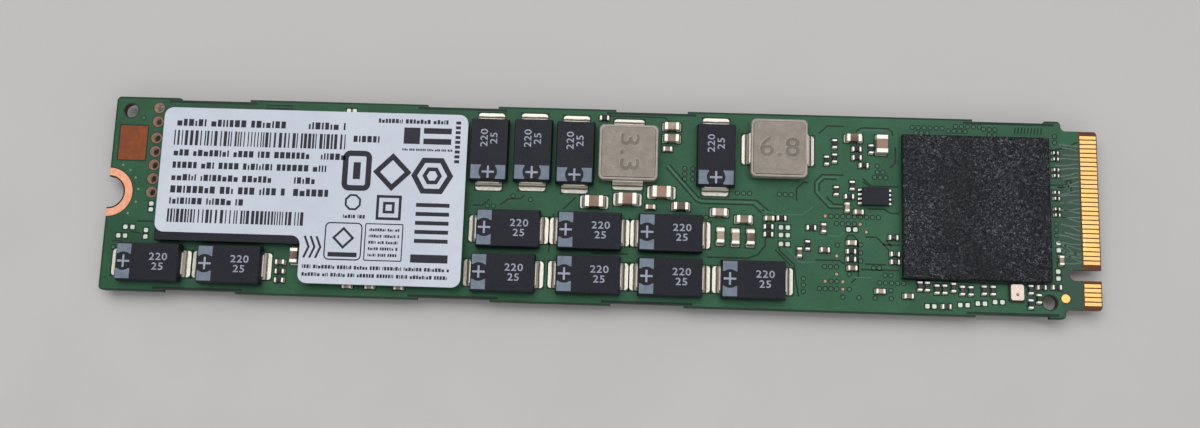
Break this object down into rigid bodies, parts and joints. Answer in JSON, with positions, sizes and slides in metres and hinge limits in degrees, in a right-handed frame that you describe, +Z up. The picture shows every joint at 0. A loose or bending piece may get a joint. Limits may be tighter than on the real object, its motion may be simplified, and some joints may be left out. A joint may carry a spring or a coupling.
{
  "type": "solid state drive module",
  "caption": "Long bare-board solid state drive with a keyed edge connector, half-round screw notch, capacitor bank, inductors, controller and a stepped label.",
  "frame": {"origin": "centre of the half-round standoff notch, on the underside of the board", "axes": "+X along the board towards the edge contacts, +Y across it, +Z up through the notch towards the controller side"},
  "size_m": [0.11, 0.022, 0.0034],
  "materials": {
    "laminate": "glass-epoxy laminate, satin",
    "solder_mask": "green solder mask, semi-gloss",
    "bare_copper": "bare copper, soft sheen",
    "gold": "gold plating",
    "solder": "reflowed solder",
    "mould_compound": "black mould compound",
    "package_substrate": "dark laminate edge",
    "silicon": "polished silicon",
    "label": "satin polyester label",
    "patch": "oxidised copper",
    "pellet": "sintered tantalum",
    "plated_terminal": "matt tin plating",
    "powder_core": "pressed iron powder",
    "ceramic": "fired ceramic",
    "resistor_glaze": "black glaze",
    "oscillator_lid": "plated lid",
    "oscillator_tub": "dark ceramic"
  },
  "bodies": {
    "root": {"buffer_memory_mould": "mould_compound", "buffer_memory_silicon_dies": "silicon", "buffer_memory_solder_balls": "solder", "buffer_memory_substrate": "package_substrate", "chip_resistor_bodies": "resistor_glaze", "chip_resistor_ends": "plated_terminal", "circuit_board": "laminate", "clock_oscillator_base": "oscillator_tub", "clock_oscillator_crystal": "silicon", "clock_oscillator_lid": "oscillator_lid", "controller_mould": "mould_compound", "controller_silicon_dies": "silicon", "controller_solder_balls": "solder", "controller_substrate": "package_substrate", "coupling_capacitor_bodies": "ceramic", "coupling_capacitor_ends": "plated_terminal", "edge_contacts_bottom": "gold", "edge_contacts_top": "gold", "eight_pin_chip_body": "mould_compound", "eight_pin_chip_leads": "plated_terminal", "fiducial_marks": "gold", "flash_memory_mould": "mould_compound", "flash_memory_silicon_dies": "silicon", "flash_memory_solder_balls": "solder", "flash_memory_substrate": "package_substrate", "holdup_capacitor_cases": "mould_compound", "holdup_capacitor_negative_leads": "plated_terminal", "holdup_capacitor_pellets": "pellet", "holdup_capacitor_positive_leads": "plated_terminal", "inductor_cores": "powder_core", "inductor_terminals": "plated_terminal", "inductor_windings": "bare_copper", "large_ceramic_capacitor_bodies": "ceramic", "large_ceramic_capacitor_ends": "plated_terminal", "marking_patch": "patch", "medium_ceramic_capacitor_bodies": "ceramic", "medium_ceramic_capacitor_ends": "plated_terminal", "mounting_rings": "bare_copper", "power_manager_body": "mould_compound", "power_manager_heat_pad": "plated_terminal", "power_manager_pins": "plated_terminal", "probe_hole_barrels": "gold", "product_label": "label", "small_ceramic_capacitor_bodies": "ceramic", "small_ceramic_capacitor_ends": "plated_terminal", "solder_joints": "solder", "solder_lands_bottom": "solder", "solder_lands_top": "solder", "solder_mask_bottom": "solder_mask", "solder_mask_top": "solder_mask", "test_points": "bare_copper"}
  },
  "joints": []
}
